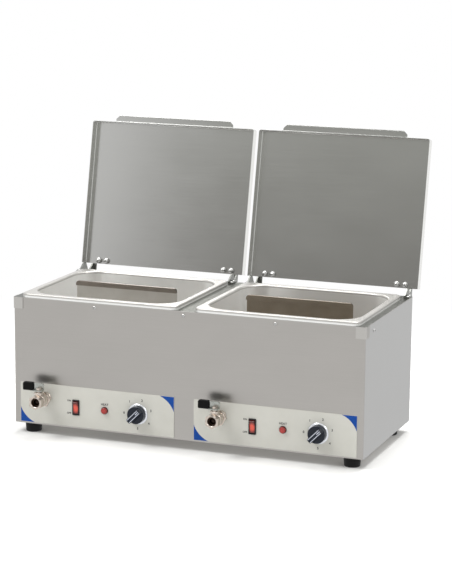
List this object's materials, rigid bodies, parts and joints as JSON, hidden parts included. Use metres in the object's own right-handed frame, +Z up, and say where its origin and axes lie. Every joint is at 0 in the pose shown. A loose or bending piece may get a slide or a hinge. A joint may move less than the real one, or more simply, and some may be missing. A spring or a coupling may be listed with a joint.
{
  "type": "sausage warmer",
  "caption": "Steel counter-top warmer: water tanks side by side in a low casing, with tilt-back lids, drain taps, rocker switches, pilot lamps and thermostat dials.",
  "frame": {"origin": "centre of the footprint of the whole part with its lids open, on the surface it stands on", "axes": "+X to the right along the control panels, +Y to the back, +Z up"},
  "size_m": [0.6834, 0.431, 0.5521],
  "materials": {
    "casing_steel": "brushed stainless sheet",
    "tank_steel": "drawn stainless, satin",
    "lid_steel": "brushed stainless sheet",
    "rack_steel": "perforated stainless sheet",
    "hinge_steel": "bent stainless strip",
    "fastener_steel": "bright stainless",
    "heater_metal": "dull sheet with a bent tube",
    "tap_nickel": "nickel-plated brass",
    "lever_steel": "plated steel strip",
    "grip_vinyl": "dipped black vinyl",
    "panel_film": "printed panel film",
    "black_plastic": "moulded, satin",
    "white_plastic": "moulded, matt",
    "rocker_red": "moulded, gloss",
    "lamp_red": "moulded red lens",
    "knob_plastic": "moulded, semi-gloss",
    "skirt_metal": "spun, bright",
    "foot_rubber": "moulded, matt"
  },
  "bodies": {
    "root": {"casing_wrap": "casing_steel", "rear_panel": "casing_steel", "base_plate": "casing_steel", "top_deck": "casing_steel", "hinge_brackets": "hinge_steel", "hinge_pins": "fastener_steel", "feet": "foot_rubber", "foot_screws": "fastener_steel", "casing_screws": "fastener_steel", "bracket_screws": "fastener_steel", "cable_gland": "black_plastic", "terminal_block": "white_plastic", "tap_nuts": "tap_nickel", "tank_left": "tank_steel", "drain_pipe_left": "tank_steel", "heater_left": "heater_metal", "tap_body_left": "tap_nickel", "control_panel_left": "panel_film", "switch_housing_left": "black_plastic", "lamp_body_left": "black_plastic", "lamp_lens_left": "lamp_red", "thermostat_left": "black_plastic", "tank_right": "tank_steel", "drain_pipe_right": "tank_steel", "heater_right": "heater_metal", "tap_body_right": "tap_nickel", "control_panel_right": "panel_film", "switch_housing_right": "black_plastic", "lamp_body_right": "black_plastic", "lamp_lens_right": "lamp_red", "thermostat_right": "black_plastic"},
    "lid_body_left": {"lid_left": "lid_steel", "lid_handle_left": "lid_steel", "hinge_arms_left": "hinge_steel", "hinge_bolts_left": "fastener_steel", "hinge_nuts_left": "fastener_steel"},
    "tap_handle_left": {"tap_ball_left": "tap_nickel", "tap_stem_left": "tap_nickel", "tap_lever_left": "lever_steel", "tap_grip_left": "grip_vinyl"},
    "rocker_body_left": {"switch_rocker_left": "rocker_red"},
    "dial_left": {"knob_left": "knob_plastic", "knob_skirt_left": "skirt_metal", "thermostat_shaft_left": "fastener_steel"},
    "rack_body_left": {"rack_left": "rack_steel"},
    "lid_body_right": {"lid_right": "lid_steel", "lid_handle_right": "lid_steel", "hinge_arms_right": "hinge_steel", "hinge_bolts_right": "fastener_steel", "hinge_nuts_right": "fastener_steel"},
    "tap_handle_right": {"tap_ball_right": "tap_nickel", "tap_stem_right": "tap_nickel", "tap_lever_right": "lever_steel", "tap_grip_right": "grip_vinyl"},
    "rocker_body_right": {"switch_rocker_right": "rocker_red"},
    "dial_right": {"knob_right": "knob_plastic", "knob_skirt_right": "skirt_metal", "thermostat_shaft_right": "fastener_steel"},
    "rack_body_right": {"rack_right": "rack_steel"}
  },
  "joints": [
    {"name": "lid_left_hinge", "type": "hinge", "parent": "root", "child": "lid_body_left", "pos_m": [-0.17355, 0.13084, 0.2505], "axis": [1, 0, 0], "range_deg": [0, 101.7]},
    {"name": "tap_left_turn", "type": "hinge", "parent": "root", "child": "tap_handle_left", "pos_m": [-0.272, -0.20015, 0.0726], "axis": [0, 0, 1], "range_deg": [0, 90]},
    {"name": "rocker_left_tilt", "type": "hinge", "parent": "root", "child": "rocker_body_left", "pos_m": [-0.2128, -0.16465, 0.0586], "axis": [-1, 0, 0], "range_deg": [0, 16]},
    {"name": "dial_left_turn", "type": "hinge", "parent": "root", "child": "dial_left", "pos_m": [-0.09, -0.17066, 0.0586], "axis": [0, -1, 0], "range_deg": [-135, 135]},
    {"name": "rack_left_lift", "type": "slide", "parent": "root", "child": "rack_body_left", "axis": [0, 0, -1], "range_m": [-0.155, 0]},
    {"name": "lid_right_hinge", "type": "hinge", "parent": "root", "child": "lid_body_right", "pos_m": [0.17355, 0.13084, 0.2505], "axis": [1, 0, 0], "range_deg": [0, 101.7]},
    {"name": "tap_right_turn", "type": "hinge", "parent": "root", "child": "tap_handle_right", "pos_m": [0.072, -0.20015, 0.0726], "axis": [0, 0, 1], "range_deg": [0, 90]},
    {"name": "rocker_right_tilt", "type": "hinge", "parent": "root", "child": "rocker_body_right", "pos_m": [0.1312, -0.16465, 0.0586], "axis": [-1, 0, 0], "range_deg": [0, 16]},
    {"name": "dial_right_turn", "type": "hinge", "parent": "root", "child": "dial_right", "pos_m": [0.254, -0.17066, 0.0586], "axis": [0, -1, 0], "range_deg": [-135, 135]},
    {"name": "rack_right_lift", "type": "slide", "parent": "root", "child": "rack_body_right", "axis": [0, 0, -1], "range_m": [-0.155, 0]}
  ]
}
